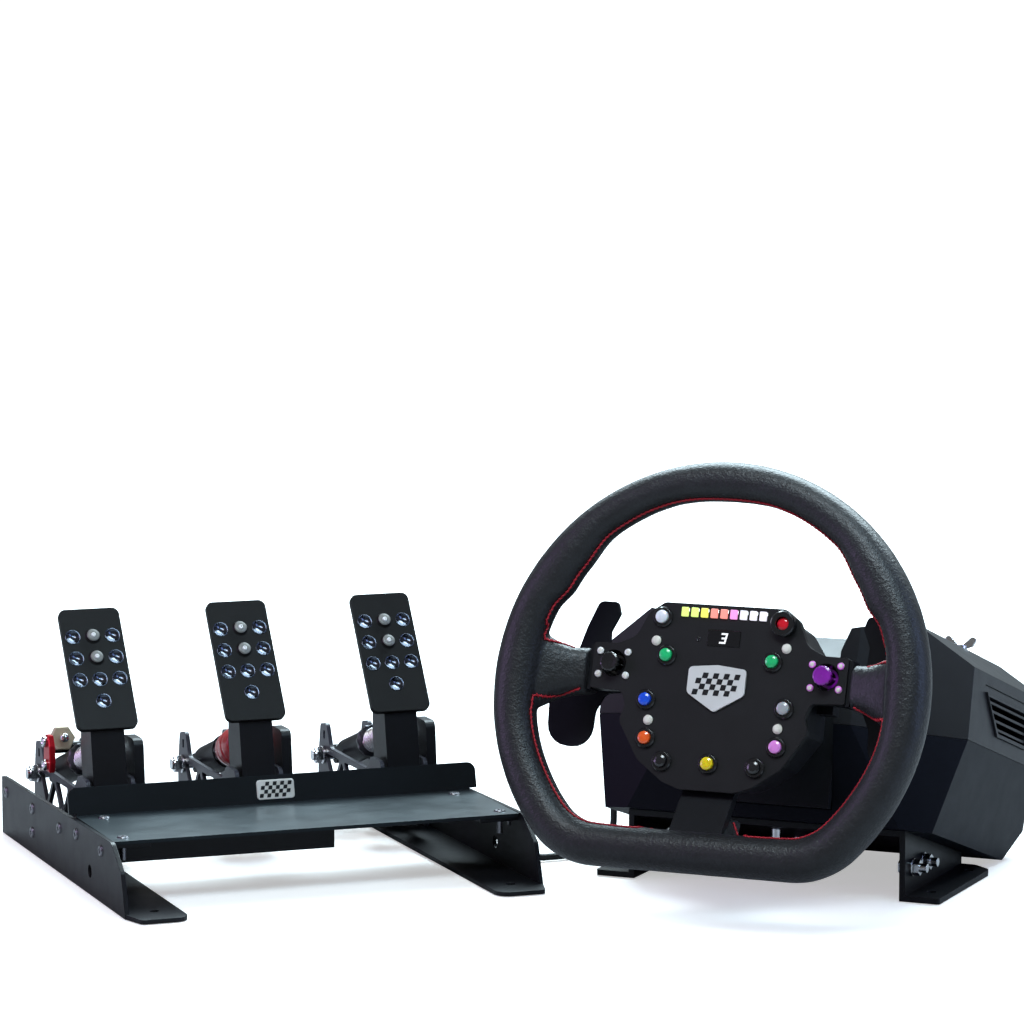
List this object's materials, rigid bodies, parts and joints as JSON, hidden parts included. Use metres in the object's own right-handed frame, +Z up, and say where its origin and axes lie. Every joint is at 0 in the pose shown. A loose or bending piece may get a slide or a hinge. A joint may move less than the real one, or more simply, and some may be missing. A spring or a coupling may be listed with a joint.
{
  "type": "racing wheel",
  "caption": "Simulator racing wheel with a flat-bottomed grip, button panel and shift paddles on a drive base and bracket, with a separate set of three floor pedals.",
  "frame": {"origin": "on the floor at the centre of the four bolt holes in the base bracket's feet", "axes": "+X to the driver's right, +Y away from the driver, +Z up"},
  "size_m": [0.7215, 0.4892, 0.2958],
  "materials": {
    "shell_plastic": "fine satin texture",
    "lower_plastic": "fine satin texture",
    "cowl_plastic": "satin",
    "vent_plastic": "satin",
    "motor_paint": "matt black",
    "bright_steel": "polished",
    "board_green": "satin",
    "black_steel": "satin powder coat",
    "deck_steel": "satin powder coat",
    "grey_steel": "satin powder coat",
    "cable_rubber": "matt",
    "bare_aluminium": "satin",
    "grip_leather": "grained",
    "panel_plastic": "fine satin texture",
    "box_plastic": "satin",
    "bezel_plastic": "gloss",
    "pearl_screw": "gloss",
    "window_black": "gloss",
    "lamp_lens": "gloss",
    "badge_silver": "satin",
    "cap_white": "gloss",
    "cap_red": "gloss",
    "cap_green": "gloss",
    "cap_blue": "gloss",
    "cap_grey": "gloss",
    "cap_orange": "gloss",
    "cap_pink": "gloss",
    "cap_black": "gloss",
    "cap_yellow": "gloss",
    "paddle_black": "satin anodised",
    "red_rubber": "satin"
  },
  "bodies": {
    "base": {"upper_shell": "shell_plastic", "lower_shell": "lower_plastic", "shaft_cowl": "cowl_plastic", "vent_grilles": "vent_plastic", "drive_motor": "motor_paint", "shaft_bearings": "bright_steel", "port_board": "board_green", "mounting_bracket": "black_steel", "bracket_bolts": "bright_steel", "link_cable": "cable_rubber", "side_plates": "black_steel", "foot_deck": "deck_steel", "frame_screws": "bright_steel", "pedal_brackets": "grey_steel", "pivot_pins": "bright_steel", "sensor_housings": "box_plastic"},
    "steering_wheel": {"rim_frame": "bare_aluminium", "rim_grip": "grip_leather", "front_panel": "panel_plastic", "wheel_box": "box_plastic", "button_housings": "bezel_plastic", "panel_screws": "pearl_screw", "display_window": "window_black", "shift_leds": "lamp_lens", "emblem_badge": "badge_silver", "steering_shaft": "bare_aluminium", "paddle_pins": "bright_steel"},
    "wing_screw_body": {"wing_screw": "bright_steel"},
    "left_paddle_body": {"left_paddle": "paddle_black"},
    "right_paddle_body": {"right_paddle": "paddle_black"},
    "white_button_body": {"white_button": "cap_white"},
    "red_button_body": {"red_button": "cap_red"},
    "left_green_button_body": {"left_green_button": "cap_green"},
    "right_green_button_body": {"right_green_button": "cap_green"},
    "blue_button_body": {"blue_button": "cap_blue"},
    "grey_button_body": {"grey_button": "cap_grey"},
    "orange_button_body": {"orange_button": "cap_orange"},
    "pink_button_body": {"pink_button": "cap_pink"},
    "left_black_button_body": {"left_black_button": "cap_black"},
    "right_black_button_body": {"right_black_button": "cap_black"},
    "yellow_button_body": {"yellow_button": "cap_yellow"},
    "left_gimbal_body": {"left_stick_gimbal": "bezel_plastic"},
    "left_stick_body": {"left_stick": "bezel_plastic"},
    "right_gimbal_body": {"right_stick_gimbal": "bezel_plastic"},
    "right_stick_body": {"right_stick": "bezel_plastic"},
    "clutch_pedal": {"clutch_arm": "black_steel", "clutch_face": "deck_steel"},
    "clutch_damper": {"clutch_barrel": "box_plastic", "clutch_spring": "bright_steel"},
    "clutch_rod_body": {"clutch_rod": "bright_steel"},
    "brake_pedal": {"brake_arm": "black_steel", "brake_face": "deck_steel"},
    "brake_damper": {"brake_barrel": "box_plastic", "brake_spring": "red_rubber"},
    "brake_rod_body": {"brake_rod": "bright_steel"},
    "throttle_pedal": {"throttle_arm": "black_steel", "throttle_face": "deck_steel"},
    "throttle_damper": {"throttle_barrel": "box_plastic", "throttle_spring": "bright_steel"},
    "throttle_rod_body": {"throttle_rod": "bright_steel"}
  },
  "joints": [
    {"name": "steering", "type": "hinge", "parent": "base", "child": "steering_wheel", "pos_m": [0, -0.165, 0.1515], "axis": [0, -0.9576, 0.2882], "range_deg": [-450, 450]},
    {"name": "wing_screw_turn", "type": "hinge", "parent": "base", "child": "wing_screw_body", "pos_m": [0.086, 0.09016, 0.14572], "axis": [0, 0.2882, 0.9576], "continuous": true},
    {"name": "left_paddle_pull", "type": "hinge", "parent": "steering_wheel", "child": "left_paddle_body", "pos_m": [-0.067, -0.11874, 0.14906], "axis": [0, 0.2882, 0.9576], "range_deg": [0, 5]},
    {"name": "right_paddle_pull", "type": "hinge", "parent": "steering_wheel", "child": "right_paddle_body", "pos_m": [0.067, -0.11874, 0.14906], "axis": [0, -0.2882, -0.9576], "range_deg": [0, 5]},
    {"name": "white_button_press", "type": "slide", "parent": "steering_wheel", "child": "white_button_body", "axis": [0, 0.9576, -0.2882], "range_m": [0, 0.0016]},
    {"name": "red_button_press", "type": "slide", "parent": "steering_wheel", "child": "red_button_body", "axis": [0, 0.9576, -0.2882], "range_m": [0, 0.0016]},
    {"name": "left_green_button_press", "type": "slide", "parent": "steering_wheel", "child": "left_green_button_body", "axis": [0, 0.9576, -0.2882], "range_m": [0, 0.0016]},
    {"name": "right_green_button_press", "type": "slide", "parent": "steering_wheel", "child": "right_green_button_body", "axis": [0, 0.9576, -0.2882], "range_m": [0, 0.0016]},
    {"name": "blue_button_press", "type": "slide", "parent": "steering_wheel", "child": "blue_button_body", "axis": [0, 0.9576, -0.2882], "range_m": [0, 0.0016]},
    {"name": "grey_button_press", "type": "slide", "parent": "steering_wheel", "child": "grey_button_body", "axis": [0, 0.9576, -0.2882], "range_m": [0, 0.0016]},
    {"name": "orange_button_press", "type": "slide", "parent": "steering_wheel", "child": "orange_button_body", "axis": [0, 0.9576, -0.2882], "range_m": [0, 0.0016]},
    {"name": "pink_button_press", "type": "slide", "parent": "steering_wheel", "child": "pink_button_body", "axis": [0, 0.9576, -0.2882], "range_m": [0, 0.0016]},
    {"name": "left_black_button_press", "type": "slide", "parent": "steering_wheel", "child": "left_black_button_body", "axis": [0, 0.9576, -0.2882], "range_m": [0, 0.0016]},
    {"name": "right_black_button_press", "type": "slide", "parent": "steering_wheel", "child": "right_black_button_body", "axis": [0, 0.9576, -0.2882], "range_m": [0, 0.0016]},
    {"name": "yellow_button_press", "type": "slide", "parent": "steering_wheel", "child": "yellow_button_body", "axis": [0, 0.9576, -0.2882], "range_m": [0, 0.0016]},
    {"name": "left_stick_sideways", "type": "hinge", "parent": "steering_wheel", "child": "left_gimbal_body", "pos_m": [-0.074, -0.14057, 0.15981], "axis": [0, 0.2882, 0.9576], "range_deg": [-12, 12]},
    {"name": "left_stick_up_down", "type": "hinge", "parent": "left_gimbal_body", "child": "left_stick_body", "pos_m": [-0.074, -0.14057, 0.15981], "axis": [1, 0, 0], "range_deg": [-12, 12]},
    {"name": "right_stick_sideways", "type": "hinge", "parent": "steering_wheel", "child": "right_gimbal_body", "pos_m": [0.074, -0.14057, 0.15981], "axis": [0, 0.2882, 0.9576], "range_deg": [-12, 12]},
    {"name": "right_stick_up_down", "type": "hinge", "parent": "right_gimbal_body", "child": "right_stick_body", "pos_m": [0.074, -0.14057, 0.15981], "axis": [1, 0, 0], "range_deg": [-12, 12]},
    {"name": "clutch_press", "type": "hinge", "parent": "base", "child": "clutch_pedal", "pos_m": [-0.44917, -0.15589, 0.024], "axis": [-0.7145, -0.6997, 0], "range_deg": [0, 16]},
    {"name": "clutch_damper_swing", "type": "hinge", "parent": "base", "child": "clutch_damper", "pos_m": [-0.53173, -0.07159, 0.044], "axis": [-0.7145, -0.6997, 0], "range_deg": [-1.2, 0]},
    {"name": "clutch_rod_slide", "type": "slide", "parent": "clutch_damper", "child": "clutch_rod_body", "axis": [-0.6676, 0.6817, -0.2993], "range_m": [0, 0.0155], "deforming": ["clutch_spring"]},
    {"name": "brake_press", "type": "hinge", "parent": "base", "child": "brake_pedal", "pos_m": [-0.37272, -0.08103, 0.024], "axis": [-0.7145, -0.6997, 0], "range_deg": [0, 16]},
    {"name": "brake_damper_swing", "type": "hinge", "parent": "base", "child": "brake_damper", "pos_m": [-0.45528, 0.00328, 0.044], "axis": [-0.7145, -0.6997, 0], "range_deg": [-1.2, 0]},
    {"name": "brake_rod_slide", "type": "slide", "parent": "brake_damper", "child": "brake_rod_body", "axis": [-0.6676, 0.6817, -0.2993], "range_m": [0, 0.0155], "deforming": ["brake_spring"]},
    {"name": "throttle_press", "type": "hinge", "parent": "base", "child": "throttle_pedal", "pos_m": [-0.29627, -0.00617, 0.024], "axis": [-0.7145, -0.6997, 0], "range_deg": [0, 16]},
    {"name": "throttle_damper_swing", "type": "hinge", "parent": "base", "child": "throttle_damper", "pos_m": [-0.37883, 0.07814, 0.044], "axis": [-0.7145, -0.6997, 0], "range_deg": [-1.2, 0]},
    {"name": "throttle_rod_slide", "type": "slide", "parent": "throttle_damper", "child": "throttle_rod_body", "axis": [-0.6676, 0.6817, -0.2993], "range_m": [0, 0.0155], "deforming": ["throttle_spring"]}
  ],
  "couplings": [
    {"joint": "clutch_damper_swing", "follows": "clutch_press", "ratio": -0.065},
    {"joint": "clutch_rod_slide", "follows": "clutch_press", "m_per_rad": 0.054145},
    {"joint": "brake_damper_swing", "follows": "brake_press", "ratio": -0.065},
    {"joint": "brake_rod_slide", "follows": "brake_press", "m_per_rad": 0.054145},
    {"joint": "throttle_damper_swing", "follows": "throttle_press", "ratio": -0.065},
    {"joint": "throttle_rod_slide", "follows": "throttle_press", "m_per_rad": 0.054145}
  ]
}
